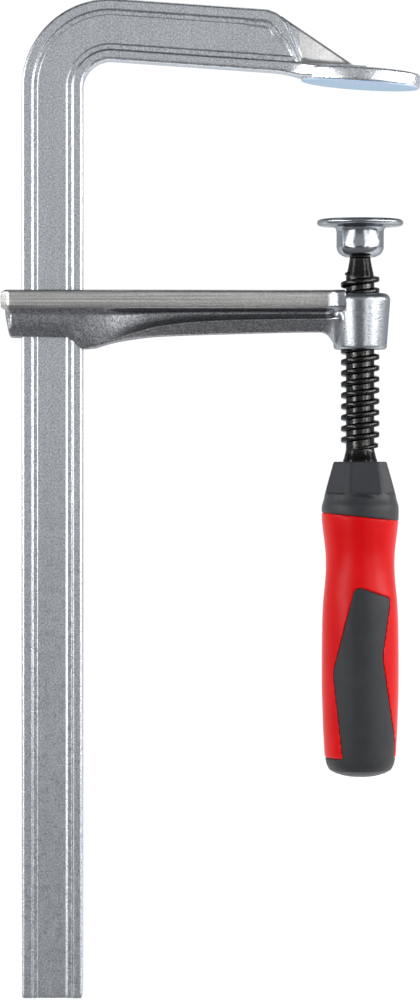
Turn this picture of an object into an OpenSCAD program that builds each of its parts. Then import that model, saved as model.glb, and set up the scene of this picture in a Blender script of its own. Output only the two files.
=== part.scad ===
// All-steel f clamp: a profiled rail forged in one piece with its fixed arm, a sliding arm,
// a trapezoidal spindle with a swivelling pressure plate, and a two-component handle.
// The origin is the centre of the fixed jaw's clamping face, on the spindle's axis.
// +Z points up along the spindle, +X away from the rail, and the clamp lies in the XZ plane.

/* [Rail] */
// Depth of the rail's section, across the throat
rail_depth = 22; // [18:0.5:30]
// Thickness of the rail's section
rail_thick = 10.5; // [9:0.5:14]
// Distance from the rail to the spindle's axis
throat = 100; // [80:1:140]
// Length of the rail below the fixed jaw's face
rail_length = 329; // [250:1:620]
// Radius on the inside of the rail's bend
bend_r = 10; // [7:0.5:16]
// Downward slope of the fixed arm, in degrees, which clamping force takes up
arm_slope = 4; // [2:0.5:6]
// Width of the raised flange along each edge
flange_w = 4; // [3:0.1:4.6]
// Width of the ledge between the flange and the sunk web
ledge_w = 2.1; // [1.2:0.1:2.8]
// How far the ledge lies below the flange
ledge_sink = 0.8; // [0.4:0.1:1.2]
// How far the web lies below the flange
web_sink = 2; // [1.4:0.1:2.8]
// Width of the break along the rail's long edges
edge_break = 0.6; // [0.3:0.1:1]

/* [Fixed jaw] */
// Length of the oval jaw plate, along the arm
jaw_l = 43; // [34:1:50]
// Width of the oval jaw plate
jaw_w = 34; // [26:1:40]
// Thickness of the jaw plate
jaw_t = 5.2; // [4:0.1:7]
// How far the jaw's face lies below the arm's lower edge
jaw_drop = 2.6; // [1.5:0.1:3.2]
// Thickness of the triangular rib on the jaw plate
rib_t = 6.5; // [5:0.1:9]
// Distance from the spindle's axis back to the end of the arm's full section
neck_back = 20.8; // [17:0.1:26]

/* [Sliding arm] */
// Gap from the fixed jaw's face down to the top of the sliding arm
arm_rest = 74; // [70:1:90]
// Running gap between the eye and the rail, on each side
eye_gap = 0.35; // [0.2:0.05:0.6]
// Width of the eye over its band
eye_w = 20; // [17:0.5:26]
// Wall of the eye behind the rail
back_wall = 7.4; // [5:0.1:10]
// Height of the raised band along the top
band_h = 6.6; // [5:0.1:9]
// How far the band stands out from the body below it
band_lip = 1.3; // [0.6:0.1:2]
// Width of the band where it meets the boss
band_w_tip = 14; // [11:0.5:18]
// Height of the eye's skirt
skirt_h = 17; // [14:0.5:24]
// Height at the heel, in front of the rail
heel_h = 20.9; // [18:0.1:28]
// Height of the arm where it meets the boss
tip_h = 15; // [12:0.5:20]
// Thickness of the arm's web
arm_web_t = 6.4; // [5:0.1:9]
// Width of the keel along the arm's lower edge
keel_w = 12; // [9:0.5:16]
// Height of the keel
keel_h = 5; // [3.5:0.1:7]

/* [Boss] */
// Diameter of the boss at its top
boss_d_top = 21.8; // [20:0.1:28]
// Diameter of the boss at its foot
boss_d_foot = 19.2; // [18.5:0.1:26]
// Height of the boss
boss_h = 20.3; // [16:0.1:28]
// How far the boss's top lies below the arm's top
boss_drop = 1; // [0:0.1:3]
// Radial gap between the spindle's crests and the boss's bore
thread_gap = 0.15; // [0.08:0.01:0.3]

/* [Spindle] */
// Diameter over the thread's crests
thread_d = 14; // [12:0.5:17]
// Depth of the thread
thread_depth = 1.85; // [1.5:0.05:2.2]
// Pitch of the thread
pitch = 4; // [3:0.5:5]
// Length of the threaded stretch
thread_l = 64; // [50:1:110]
// Diameter of the ball at the tip
ball_d = 11.4; // [10:0.1:13.7]
// Diameter of the neck behind the ball
neck_d = 7.2; // [6:0.1:7.6]
// Length of the tapering neck
neck_l = 8.5; // [7:0.1:12]
// Diameter of the shoulder where the spindle enters the handle
shank_d = 12.4; // [11:0.1:14]
// Distance across the flats of the hexagonal tang in the handle
tang_af = 9; // [7:0.1:10]
// Length of the tang
tang_l = 70; // [50:1:85]

/* [Pressure plate] */
// Depth from the fixed jaw's face down to the pressure plate, which is the opening at rest
pad_rest = 48.4; // [40:0.1:60]
// Diameter of the pressure plate
pad_d = 31.2; // [26:0.2:40]
// Thickness of the plate at its rim
pad_rim_t = 2.3; // [1.8:0.1:3.5]
// Thickness of the plate over the ball
pad_crown_t = 2; // [1.4:0.1:3]
// Wall of the cup that holds the ball
cup_wall = 2.75; // [2.5:0.05:4]
// Radial gap between the ball and its cup
ball_gap = 0.15; // [0.08:0.01:0.25]
// Diameter of the wire of the snap ring
ring_wire = 1.2; // [0.8:0.1:1.4]
// Largest swivel of the plate, in degrees
swivel = 8; // [4:1:9]

/* [Handle] */
// Length of the handle
handle_l = 113.6; // [95:0.5:140]
// Diameter at the handle's top face, before the flats are cut
handle_d_top = 19.6; // [17:0.2:24]
// Diameter at the shoulder below the flats
handle_d_shoulder = 27.8; // [24:0.2:34]
// Diameter at the waist
handle_d_waist = 24.8; // [21:0.2:30]
// Diameter at the palm swell
handle_d_palm = 27.8; // [24:0.2:34]
// Diameter just above the end cap's rounding
handle_d_end = 25.6; // [22:0.2:32]
// Length of the stretch with six flats
flats_l = 11.6; // [9:0.1:16]
// Distance across the flats at the top face
flats_af = 17.2; // [15:0.1:21]
// Slope of the flats, in degrees
flats_taper = 14.5; // [10:0.5:18]
// Slant of the seam under the collar, in degrees
seam_slant = 6; // [0:0.5:10]
// Height of the collar at its middle
collar_h = 19.7; // [16:0.1:26]
// Depth of the soft grip panels
panel_sink = 1.8; // [1:0.1:3]
// Height of the soft cap at the handle's end
cap_h = 7; // [5:0.1:12]
// Gap between the spindle and its sockets in the handle
socket_gap = 0.05; // [0.02:0.01:0.15]

/* [Hidden] */
$fn = 96;

// Colours
zinc = [0.72, 0.73, 0.75];
forged_zinc = [0.6, 0.61, 0.63];
black_oxide = [0.12, 0.11, 0.1];
red_plastic = [0.87, 0.12, 0.13];
black_plastic = [0.17, 0.17, 0.18];

// Rail: the bend's centre, found from the throat and from the jaw's face through the origin
bend_R = bend_r + rail_depth;
bend_x = -(throat - bend_r);
bend_z = (jaw_drop - bend_r - bend_x * sin(arm_slope)) / cos(arm_slope);
half_t = rail_thick / 2;
// The bend's centre along the fixed arm
arm_u = bend_x * cos(arm_slope) - bend_z * sin(arm_slope);
arm_top = jaw_drop + rail_depth;
nose_lean = 64;
nose_r = 10;
flare_l = 11;
flare_drop = 0.6;
rib_foot = 0.5;
jaw_chamfer = 0.7;

// Sliding arm, measured from the centre of its top face over the spindle's axis
arm_back = -(throat + rail_depth + back_wall);
band_round = 2;
skirt_back = arm_back + 1.6;
skirt_lean = 1.6;
heel_out = -throat + 3.5;
heel_in = -throat - 1.5;
skirt_end = heel_in - 4.8;
body_w = eye_w - 2 * band_lip;
arm_slim = heel_out + 15;
boss_round = 2.4;
boss_bore_r = thread_d / 2 + thread_gap;

// Spindle and pressure plate, along the spindle's axis
ball_r = ball_d / 2;
cup_r = ball_r + ball_gap;
ball_z = -pad_rest - pad_crown_t - cup_r;
neck_r = neck_d / 2;
root_r = thread_d / 2 - thread_depth;
neck_foot = ball_z - sqrt(ball_r * ball_r - neck_r * neck_r);
root_top = neck_foot - neck_l;
thread_top = root_top + 1.6;
thread_foot = thread_top - thread_l;
shoulder_z = thread_foot - 1;
thread_start = 210;
handle_top = shoulder_z - 3.2;
shank_l = 12;

cup_out_r = cup_r + cup_wall;
cup_round = 3.75;
cup_foot = cup_r - 0.2;
lip_t = 0.7;
mouth_r = neck_r + (cup_foot + 0.5) * sin(swivel) + 0.3;
wire_r = ring_wire / 2;
ring_gap = 0.1;
ring_drop = 2.4;
ring_r = sqrt(pow(ball_r + wire_r + ring_gap, 2) - ring_drop * ring_drop);
groove_r = ring_r + wire_r + ring_drop * sin(swivel) + ball_gap;
groove_half = wire_r + ring_r * sin(swivel) + ball_gap;
ring_opening = 40;

// Handle, measured down from its top face
waist_at = 37.5;
palm_at = 71;
end_at = 106;
seam_at = collar_h;
flats_turn = 8.5;
cap_top = handle_l - cap_h;
panel_from = 4;
panel_reach = 40;

// Points of an arc, from angle a to angle b
function arc(x, y, r, a, b, n = 8) = [
    for (i = [0:n])
        let (t = a + (b - a) * i / n)
            [x + r * cos(t), y + r * sin(t)]
];

// Points of a quadratic curve from a to c that leans towards b
function bow(a, b, c, n = 10) = [
    for (i = [0:n])
        let (t = i / n)
            (1 - t) * (1 - t) * a + 2 * t * (1 - t) * b + t * t * c
];

// Points that round the corner b, between a and c, with radius r
function rounded(a, b, c, r, n = 6) =
    let (
        p = (a - b) / norm(a - b),
        q = (c - b) / norm(c - b),
        half = acos(p * q) / 2,
        mid = b + (p + q) / norm(p + q) * r / sin(half),
        from = b + p * r / tan(half) - mid,
        to = b + q * r / tan(half) - mid,
        start = atan2(from[1], from[0]),
        turn = atan2(to[1], to[0]) - start,
        sweep = turn > 180 ? turn - 360 : turn < -180 ? turn + 360 : turn
    )
    arc(mid[0], mid[1], r, start, start + sweep, n);

// Points of an oval
function oval(a, b, n = 72) = [for (i = [0:n - 1]) [a * cos(360 * i / n), b * sin(360 * i / n)]];

// A flat outline in the XZ plane, given a thickness that is centred on Y = 0
module slab(points, t) {
    rotate([90, 0, 0])
        linear_extrude(t, center = true)
            polygon(points);
}

// --- Rail ---

// A point of the fixed arm, u along it and w above the jaw's face, in the clamp's own frame
function on_arm(u, w) = [
    u * cos(arm_slope) + w * sin(arm_slope),
    w * cos(arm_slope) - u * sin(arm_slope)
];

// The line where the fixed arm's full section ends, drawn in by an inset: round from the arm's
// top and down to its lower edge
function nose_line(inset) =
    let (
        top = arm_top - inset,
        foot = jaw_drop + inset,
        run = (arm_top - jaw_t) / tan(nose_lean),
        lean = inset / sin(nose_lean),
        tip = -neck_back - lean + (jaw_t - foot) / tan(nose_lean),
        brow = -neck_back - run - lean + inset / tan(nose_lean)
    )
    concat(
        rounded([arm_u, top], [brow, top], [tip, foot], max(nose_r - inset, 2), 10),
        [[tip, foot]]
    );

// Side outline of the rail, its bend and the fixed arm, drawn in by an inset except at the
// rail's end, where it runs on by an overrun
function hook(inset, overrun) = concat(
    [[-throat - rail_depth + inset, -rail_length - overrun]],
    arc(bend_x, bend_z, bend_R - inset, 180, 90 - arm_slope, 24),
    [for (p = nose_line(inset)) on_arm(p[0], p[1])],
    arc(bend_x, bend_z, bend_r + inset, 90 - arm_slope, 180, 24),
    [[-throat - inset, -rail_length - overrun]]
);

// The forged bar: its long edges are broken, and a stepped channel runs along both faces
module rail_bar() {
    difference() {
        union() {
            slab(hook(0, 0), rail_thick - 2 * edge_break);
            slab(hook(edge_break, -edge_break), rail_thick);
        }
        for (side = [-1, 1]) {
            translate([0, side * rail_thick, 0])
                slab(hook(flange_w, 5), rail_thick + 2 * ledge_sink);
            translate([0, side * rail_thick, 0])
                slab(hook(flange_w + ledge_w, 5), rail_thick + 2 * web_sink);
        }
    }
}

// The oval jaw plate with broken edges, and the flare that leads the arm into it
module jaw_plate() {
    a = jaw_l / 2;
    b = jaw_w / 2;
    for (cut = [0, 1]) {
        inset = (1 - cut) * jaw_chamfer;
        low = cut * jaw_chamfer;
        translate([0, 0, low])
            linear_extrude(jaw_t - 2 * low)
                polygon(oval(a - inset, b - inset));
    }
    flare = concat(
        [[-a - flare_l, half_t - 2 * edge_break]],
        bow([-a - 4, half_t - 0.4], [-a + 3, half_t + 1], [-a + 7, b * 0.74], 6)
    );
    back = [for (i = [len(flare) - 1:-1:0]) [flare[i][0], -flare[i][1]]];
    translate([0, 0, jaw_drop - flare_drop])
        linear_extrude(jaw_t - jaw_drop + flare_drop)
            polygon(concat(flare, back));
}

// The triangular rib that braces the plate
module jaw_rib() {
    run = (arm_top - jaw_t) / tan(nose_lean);
    crest = [-neck_back - run + 1.2, arm_top - 2.4];
    foot = [rib_foot, jaw_t];
    slope = (foot - crest) / norm(foot - crest);
    slab([
        crest,
        foot + 3 * slope,
        [-neck_back - 3, jaw_t - 1.5],
        crest + [-2, -4]
    ], rib_t);
}

module rail() {
    color(zinc)
        union() {
            rail_bar();
            rotate([0, arm_slope, 0]) {
                jaw_plate();
                jaw_rib();
            }
        }
}

// --- Sliding arm ---

// Lower edge of the arm, from the heel to the boss
function belly() = bow([heel_out, -heel_h], [heel_out + 13, -tip_h - 2.2], [heel_out + 38, -tip_h - 1]);

// Side outline of the sliding arm's body, under its band
function body_outline() = concat(
    [
        [skirt_back, -1],
        [skirt_back, -band_h - 2.4],
        [skirt_back + skirt_lean, -skirt_h],
        [skirt_end, -skirt_h]
    ],
    bow([skirt_end + 1, -skirt_h], [heel_in - 2, -skirt_h], [heel_in, -heel_h], 6),
    belly(),
    [[-boss_d_foot / 2 - 4, -tip_h]],
    arc(-boss_d_foot / 2 - 4, -tip_h - 4, 4, 90, 0),
    [[0, -tip_h - 4], [0, -1]]
);

// Side outline of the keel
function keel_outline() = concat(
    belly(),
    [[-boss_d_foot / 2, -tip_h], [-boss_d_foot / 2, -tip_h + keel_h]],
    bow(
        [heel_out + 33, -tip_h + keel_h - 1.6],
        [heel_out + 17, -tip_h + keel_h - 3.4],
        [heel_out, -heel_h + 1]
    )
);

// Plan outline that is full width at the eye and narrows to the arm
module plan_taper(full, slim, height) {
    translate([0, 0, -height])
        linear_extrude(height)
            polygon([
                [arm_back, -full / 2],
                [heel_out + 2, -full / 2],
                [arm_slim, -slim / 2],
                [0, -slim / 2],
                [0, slim / 2],
                [arm_slim, slim / 2],
                [heel_out + 2, full / 2],
                [arm_back, full / 2]
            ]);
}

// The band along the top: its end is chamfered, and its sides draw in towards the boss
module arm_band() {
    half = eye_w / 2;
    tip = band_w_tip / 2;
    intersection() {
        translate([0, 0, -band_h])
            linear_extrude(band_h)
                polygon([
                    [arm_back, -half + band_round * 1.4],
                    [arm_back + band_round * 1.4, -half],
                    [heel_out, -half],
                    [0, -tip],
                    [0, tip],
                    [heel_out, half],
                    [arm_back + band_round * 1.4, half],
                    [arm_back, half - band_round * 1.4]
                ]);
        slab(concat(
            [[0, 0], [0, -band_h], [arm_back, -band_h]],
            arc(arm_back + band_round, -band_round, band_round, 180, 90)
        ), 2 * eye_w);
    }
}

module boss() {
    top = -boss_drop;
    foot = -boss_drop - boss_h;
    r = boss_d_top / 2;
    rotate_extrude()
        polygon(concat(
            [[0, foot], [boss_d_foot / 2, foot]],
            arc(r - boss_round, top - boss_round, boss_round, 0, 90),
            [[0, top]]
        ));
}

module sliding_arm() {
    deep = heel_h + 5;
    color(forged_zinc)
        translate([0, 0, -arm_rest])
            difference() {
                union() {
                    arm_band();
                    intersection() {
                        slab(body_outline(), 2 * eye_w);
                        plan_taper(body_w, arm_web_t, deep);
                    }
                    intersection() {
                        slab(keel_outline(), 2 * eye_w);
                        plan_taper(body_w, keel_w, deep);
                    }
                    boss();
                }
                translate([-throat - rail_depth - eye_gap, -half_t - eye_gap, -deep])
                    cube([rail_depth + 2 * eye_gap, rail_thick + 2 * eye_gap, deep + 1]);
                translate([0, 0, -deep])
                    cylinder(h = deep + 1, r = boss_bore_r);
            }
}

// --- Spindle ---

// The thread's ridge, as one swept trapezoid that fades out at both ends
module thread_ridge(low, high) {
    steps_per_turn = 24;
    sunk = 0.3;
    half_crest = 0.183 * pitch;
    half_root = half_crest + (thread_depth + sunk) * tan(15);
    count = round((high - low) / pitch * steps_per_turn);
    fade = steps_per_turn * 0.55;
    points = [
        for (i = [0:count])
            let (
                a = thread_start + 360 * i / steps_per_turn,
                z = low + pitch * i / steps_per_turn,
                f = min(1, max(0.02, i / fade), max(0.02, (count - i) / fade)),
                inner = root_r - sunk,
                outer = inner + (thread_depth + sunk) * (0.25 + 0.75 * f),
                crest = half_crest * f + 0.05
            )
            each [
                [inner * cos(a), inner * sin(a), z - half_root],
                [outer * cos(a), outer * sin(a), z - crest],
                [outer * cos(a), outer * sin(a), z + crest],
                [inner * cos(a), inner * sin(a), z + half_root]
            ]
    ];
    sides = [
        for (i = [0:count - 1])
            for (k = [0:3])
                let (
                    p = 4 * i + k,
                    q = 4 * i + (k + 1) % 4
                )
                each [[p, q, p + 4], [q, q + 4, p + 4]]
    ];
    last = 4 * count;
    ends = [
        [0, 2, 1], [0, 3, 2],
        [last, last + 1, last + 2], [last, last + 2, last + 3]
    ];
    polyhedron(points, concat(sides, ends), convexity = 10);
}

// Radius of the tapering neck, from 0 behind the ball to 1 at the thread's root
function neck_at(t) = neck_r + 0.05 + (root_r - neck_r - 0.05) * pow(t, 1.35);

module spindle() {
    neck_angle = asin(neck_r / ball_r);
    color(black_oxide)
        union() {
            rotate_extrude()
                polygon(concat(
                    [[0, handle_top - 1]],
                    [[shank_d / 2, handle_top - 1], [shank_d / 2, handle_top + 0.5]],
                    [[root_r, shoulder_z]],
                    [for (i = [8:-1:0]) [neck_at(i / 8), neck_foot - neck_l * i / 8]],
                    arc(0, ball_z, ball_r, neck_angle - 90, 90, 20)
                ));
            translate([0, 0, handle_top - shank_l])
                cylinder(h = shank_l, d = shank_d);
            translate([0, 0, handle_top - shank_l - tang_l])
                cylinder(h = tang_l + 1, d = tang_af / cos(30), $fn = 6);
            thread_ridge(thread_foot, thread_top);
        }
}

// --- Pressure plate ---

module pad_snap_ring() {
    color(zinc)
        translate([0, 0, ball_z - ring_drop])
            rotate_extrude(angle = 360 - ring_opening, start = ring_opening / 2)
                translate([ring_r, 0])
                    circle(wire_r, $fn = 24);
}

module pressure_plate() {
    face = cup_r + pad_crown_t;
    rim = pad_rim_t / 2;
    r = pad_d / 2;
    color(zinc)
        translate([0, 0, ball_z])
            difference() {
                rotate_extrude()
                    polygon(concat(
                        [[0, face], [0, -cup_foot]],
                        arc(cup_out_r - cup_round, cup_round - cup_foot, cup_round, -90, 0),
                        [[cup_out_r, face - pad_rim_t - 0.5]],
                        arc(r - rim, face - rim, rim, -90, 90)
                    ));
                sphere(cup_r);
                translate([0, 0, -cup_foot + lip_t])
                    cylinder(h = cup_foot - lip_t, r = cup_r);
                translate([0, 0, -cup_foot - 1])
                    cylinder(h = cup_foot, r = mouth_r);
                translate([0, 0, -ring_drop - groove_half])
                    cylinder(h = 2 * groove_half, r = groove_r);
            }
}

// --- Handle ---

// Outline of the whole handle, drawn in by an inset, with z measured from the handle's top
function handle_outline(inset) = concat(
    [[0, 0], [handle_d_top / 2 - inset, 0]],
    bow(
        [handle_d_shoulder / 2 - 1 - inset, -flats_l - 0.4],
        [handle_d_shoulder / 2 - inset, -flats_l - 3],
        [handle_d_shoulder / 2 - inset, -seam_at + 2], 4
    ),
    bow(
        [handle_d_shoulder / 2 - inset, -seam_at],
        [handle_d_waist / 2 - inset, -seam_at - 9],
        [handle_d_waist / 2 - inset, -waist_at]
    ),
    bow(
        [handle_d_waist / 2 - inset, -waist_at - 4],
        [handle_d_palm / 2 - inset, -waist_at - 13],
        [handle_d_palm / 2 - inset, -palm_at + 8]
    ),
    bow(
        [handle_d_palm / 2 - inset, -palm_at],
        [handle_d_palm / 2 - inset, -palm_at - 15],
        [handle_d_end / 2 - inset, -end_at], 6
    ),
    bow(
        [handle_d_end / 2 - inset - 0.1, -end_at - 1],
        [handle_d_end / 2 - inset - 1, -handle_l + inset + 0.3],
        [handle_d_end / 2 - inset - 8, -handle_l + inset]
    ),
    [[0, -handle_l + inset]]
);

module handle_solid(inset) {
    rotate_extrude()
        polygon(handle_outline(inset));
}

// Everything above or below the slanted seam, as a block
module above_seam() {
    translate([0, 0, -seam_at])
        rotate([0, seam_slant, 0])
            translate([-40, -40, 0])
                cube([80, 80, 60]);
}

// Six flats that taper towards the handle's top
module flat_cuts() {
    for (k = [0:5])
        rotate([0, 0, 60 * k + 30 + flats_turn])
            translate([flats_af / 2, 0, 0])
                rotate([0, -flats_taper, 0])
                    translate([0, -20, -flats_l / cos(flats_taper)])
                        cube([20, 40, 60]);
}

module handle_collar() {
    color(black_plastic)
        translate([0, 0, handle_top])
            difference() {
                intersection() {
                    handle_solid(0);
                    above_seam();
                }
                flat_cuts();
                translate([0, 0, -shank_l])
                    cylinder(h = shank_l + 5, r = shank_d / 2 + socket_gap);
                translate([0, 0, -handle_l])
                    cylinder(h = handle_l, d = (tang_af + 2 * socket_gap) / cos(30), $fn = 6);
            }
}

// Outline of a grip panel, which slants across the handle and runs into the end cap
function panel_outline() =
    let (
        top_l = [-2.2, -44.4],
        top_r = [10.6, -49],
        pinch = [7.5, -70],
        foot_r = [13.4, -cap_top - 2],
        foot_l = [-6.4, -cap_top - 2],
        belly_l = [-10.1, -75.5]
    )
    concat(
        rounded(belly_l, top_l, top_r, 2.6),
        rounded(top_l, top_r, pinch, 1.8),
        rounded(top_r, pinch, foot_r, 12),
        [foot_r, foot_l],
        rounded(foot_l, belly_l, top_l, 9)
    );

// The soft component: two panels on opposite sides, joined by the end cap
module soft_shape() {
    difference() {
        intersection() {
            handle_solid(0);
            union() {
                for (side = [0, 180])
                    rotate([0, 0, side])
                        translate([0, -panel_from - panel_reach / 2, 0])
                            slab(panel_outline(), panel_reach);
                translate([0, 0, -handle_l - 1])
                    cylinder(h = cap_h + 1, r = handle_d_palm);
            }
        }
        intersection() {
            handle_solid(panel_sink);
            translate([0, 0, -handle_l + 3.4])
                cylinder(h = handle_l, r = handle_d_palm);
        }
    }
}

module handle_core() {
    color(red_plastic)
        translate([0, 0, handle_top])
            difference() {
                handle_solid(0);
                above_seam();
                soft_shape();
                translate([0, 0, -shank_l - tang_l - 1])
                    cylinder(h = handle_l, d = (tang_af + 2 * socket_gap) / cos(30), $fn = 6);
            }
}

module handle_grip() {
    color(black_plastic)
        translate([0, 0, handle_top])
            soft_shape();
}

rail();
sliding_arm();
spindle();
pressure_plate();
pad_snap_ring();
handle_core();
handle_collar();
handle_grip();
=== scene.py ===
"""All-steel f clamp: the looks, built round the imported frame. Lengths are in millimetres until a
mesh is made. X runs away from the rail, Z up the spindle, and Y through the clamp's thickness."""
import math

import bmesh
import bpy
import numpy as np
from mathutils import Matrix, Vector


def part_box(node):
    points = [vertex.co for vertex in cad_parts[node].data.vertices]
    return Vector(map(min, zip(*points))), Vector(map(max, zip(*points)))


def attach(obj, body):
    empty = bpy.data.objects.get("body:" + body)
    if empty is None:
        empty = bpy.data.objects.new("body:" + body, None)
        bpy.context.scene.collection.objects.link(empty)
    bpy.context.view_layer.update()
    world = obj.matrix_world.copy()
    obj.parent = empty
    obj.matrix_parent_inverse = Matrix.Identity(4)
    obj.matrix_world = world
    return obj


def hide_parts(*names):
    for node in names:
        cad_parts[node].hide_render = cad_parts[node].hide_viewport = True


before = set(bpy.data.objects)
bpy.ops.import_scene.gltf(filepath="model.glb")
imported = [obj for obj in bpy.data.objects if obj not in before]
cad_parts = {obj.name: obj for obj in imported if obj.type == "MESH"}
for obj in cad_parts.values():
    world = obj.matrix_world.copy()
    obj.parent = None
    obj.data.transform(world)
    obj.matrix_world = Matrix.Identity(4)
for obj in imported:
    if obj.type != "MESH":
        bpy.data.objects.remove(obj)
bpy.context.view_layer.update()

MM = 0.001


def box_mm(node):
    """Lowest and highest corner of a CAD node, in millimetres."""
    low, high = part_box(node)
    return np.array(low) / MM, np.array(high) / MM


RAIL_LOW, RAIL_HIGH = box_mm("rail")
ARM_LOW, ARM_HIGH = box_mm("sliding_arm")
PAD_LOW, PAD_HIGH = box_mm("pressure_plate")
SCREW_LOW, SCREW_HIGH = box_mm("spindle")
ARM_TOP = ARM_HIGH[2]
COLLAR_HIGH = box_mm("handle_collar")[1]
GRIP_LOW = box_mm("handle_grip")[0]

SLOPE = math.radians(4)     # of the fixed arm and its jaw
QUARTER = np.radians([0, 22, 45, 68, 90])


# --- Mesh helpers ---

def step(t, a, b):
    """Smooth step from 0 at a to 1 at b."""
    t = np.clip((np.asarray(t, float) - a) / (b - a), 0, 1)
    return t * t * (3 - 2 * t)


def curve(points):
    """A smooth function through points (x, y) that never overshoots them."""
    x, y = np.array(points, float).T
    slope = np.diff(y) / np.diff(x)
    tangent = np.concatenate([[slope[0]], (slope[1:] + slope[:-1]) / 2, [slope[-1]]])
    turns = np.concatenate([[False], slope[1:] * slope[:-1] <= 0, [False]])
    tangent[turns] = 0

    def value(at):
        at = np.clip(np.asarray(at, float), x[0], x[-1])
        i = np.clip(np.searchsorted(x, at) - 1, 0, len(x) - 2)
        h = x[i + 1] - x[i]
        t = (at - x[i]) / h
        a = (1 + 2 * t) * (1 - t) ** 2 * y[i] + t * (1 - t) ** 2 * h * tangent[i]
        return a + t * t * (3 - 2 * t) * y[i + 1] + t * t * (t - 1) * h * tangent[i + 1]

    return value


def arc(cx, cy, r, start, end, n=6):
    """Points of an arc, with its angles in degrees."""
    angles = np.radians(np.linspace(start, end, n + 1))
    return [(cx + r * math.cos(a), cy + r * math.sin(a)) for a in angles]


def rounded(a, b, c, r, n=8):
    """Points that round the corner b, between a and c."""
    a, b, c = (np.array(p, float) for p in (a, b, c))
    p = (a - b) / np.linalg.norm(a - b)
    q = (c - b) / np.linalg.norm(c - b)
    half = math.acos(np.clip(p @ q, -1, 1)) / 2
    middle = b + (p + q) / np.linalg.norm(p + q) * r / math.sin(half)
    first = b + p * r / math.tan(half) - middle
    last = b + q * r / math.tan(half) - middle
    start = math.degrees(math.atan2(first[1], first[0]))
    sweep = (math.degrees(math.atan2(last[1], last[0])) - start + 180) % 360 - 180
    return arc(middle[0], middle[1], r, start, start + sweep, n)


def new_piece(name, points, faces):
    """A mesh object from points in millimetres, with its faces turned outwards."""
    mesh = bpy.data.meshes.new(name)
    mesh.from_pydata([tuple(p) for p in np.asarray(points, float) * MM], [], faces)
    piece = bpy.data.objects.new(name, mesh)
    bpy.context.scene.collection.objects.link(piece)
    bm = bmesh.new()
    bm.from_mesh(mesh)
    bmesh.ops.recalc_face_normals(bm, faces=bm.faces)
    bm.to_mesh(mesh)
    bm.free()
    return piece


def skin(name, rings):
    """A closed mesh over rings of equally many points, capped at both ends."""
    rings = np.asarray(rings, float)
    count, size = rings.shape[:2]
    faces = []
    for i in range(count - 1):
        a, b = i * size, (i + 1) * size
        for k in range(size):
            m = (k + 1) % size
            faces.append((a + k, a + m, b + m, b + k))
    faces.append(tuple(range(size))[::-1])
    faces.append(tuple(range((count - 1) * size, count * size)))
    return new_piece(name, rings.reshape(-1, 3), faces)


def lathe(name, profile, steps=128):
    """A body of revolution about Z from (radius, z) points."""
    angles = np.linspace(0, 2 * math.pi, steps, endpoint=False)
    rings = [[(r * math.cos(a), r * math.sin(a), z) for a in angles] for r, z in profile]
    return skin(name, rings)


def prism(name, outline, low, high, plane="xz"):
    """An outline given thickness, across Y for the xz plane or along Z for the xy plane."""
    if plane == "xz":
        rings = [[(x, t, z) for x, z in outline] for t in (low, high)]
    else:
        rings = [[(x, y, t) for x, y in outline] for t in (low, high)]
    return skin(name, rings)


def hexagon(name, half_across, low, high):
    """A hexagonal bar along Z, from half its width across the flats."""
    corner = half_across / math.cos(math.radians(30))
    outline = [(corner * math.cos(math.radians(a)), corner * math.sin(math.radians(a)))
               for a in range(0, 360, 60)]
    return prism(name, outline, low, high, "xy")


def block(name, low, high):
    """A box between two corners."""
    outline = [(low[0], low[2]), (high[0], low[2]), (high[0], high[2]), (low[0], high[2])]
    return prism(name, outline, low[1], high[1])


def settle(piece):
    """Applies a piece's modifiers to its mesh."""
    graph = bpy.context.evaluated_depsgraph_get()
    mesh = bpy.data.meshes.new_from_object(piece.evaluated_get(graph))
    old = piece.data
    piece.modifiers.clear()
    piece.data = mesh
    bpy.data.meshes.remove(old)
    mesh.name = piece.name
    return piece


def combine(piece, tool, operation):
    """Joins a tool to a piece, cuts it out or keeps what they share. The tool is used up."""
    change = piece.modifiers.new("combine", "BOOLEAN")
    change.operation = operation
    change.object = tool
    change.solver = "MANIFOLD"
    bpy.context.view_layer.update()
    settle(piece)
    bpy.data.objects.remove(tool)
    return piece


def forge(piece, voxel, passes):
    """Rounds every edge and fillets every corner, as forging and moulding do."""
    change = piece.modifiers.new("grain", "REMESH")
    change.mode = "VOXEL"
    change.voxel_size = voxel * MM
    ease = piece.modifiers.new("ease", "SMOOTH")
    ease.factor = 0.5
    ease.iterations = passes
    bpy.context.view_layer.update()
    return settle(piece)


def dress(piece, body, node, material, sharp=40):
    """Shades a piece, gives it its material, and sets it on its body in a CAD node's place."""
    piece.data.shade_smooth()
    piece.data.set_sharp_from_angle(angle=math.radians(sharp))
    piece.data.materials.clear()
    piece.data.materials.append(material)
    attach(piece, body)
    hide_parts(node)


# --- Materials ---

def nodes_of(name):
    """A new material, with its node tree, its shader and the object's own coordinates."""
    material = bpy.data.materials.new(name)
    material.use_nodes = True
    tree = material.node_tree
    shader = tree.nodes["Principled BSDF"]
    place = tree.nodes.new("ShaderNodeTexCoord").outputs["Object"]
    return material, tree, shader, place


def stretched(tree, place, scale):
    """The coordinates with a scale of their own along each axis."""
    mapping = tree.nodes.new("ShaderNodeMapping")
    mapping.inputs["Scale"].default_value = scale
    tree.links.new(place, mapping.inputs["Vector"])
    return mapping.outputs["Vector"]


def noise(tree, place, scale, detail=3.0, roughness=0.5):
    texture = tree.nodes.new("ShaderNodeTexNoise")
    texture.inputs["Scale"].default_value = scale
    texture.inputs["Detail"].default_value = detail
    texture.inputs["Roughness"].default_value = roughness
    tree.links.new(place, texture.inputs["Vector"])
    return texture.outputs["Fac"]


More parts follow.
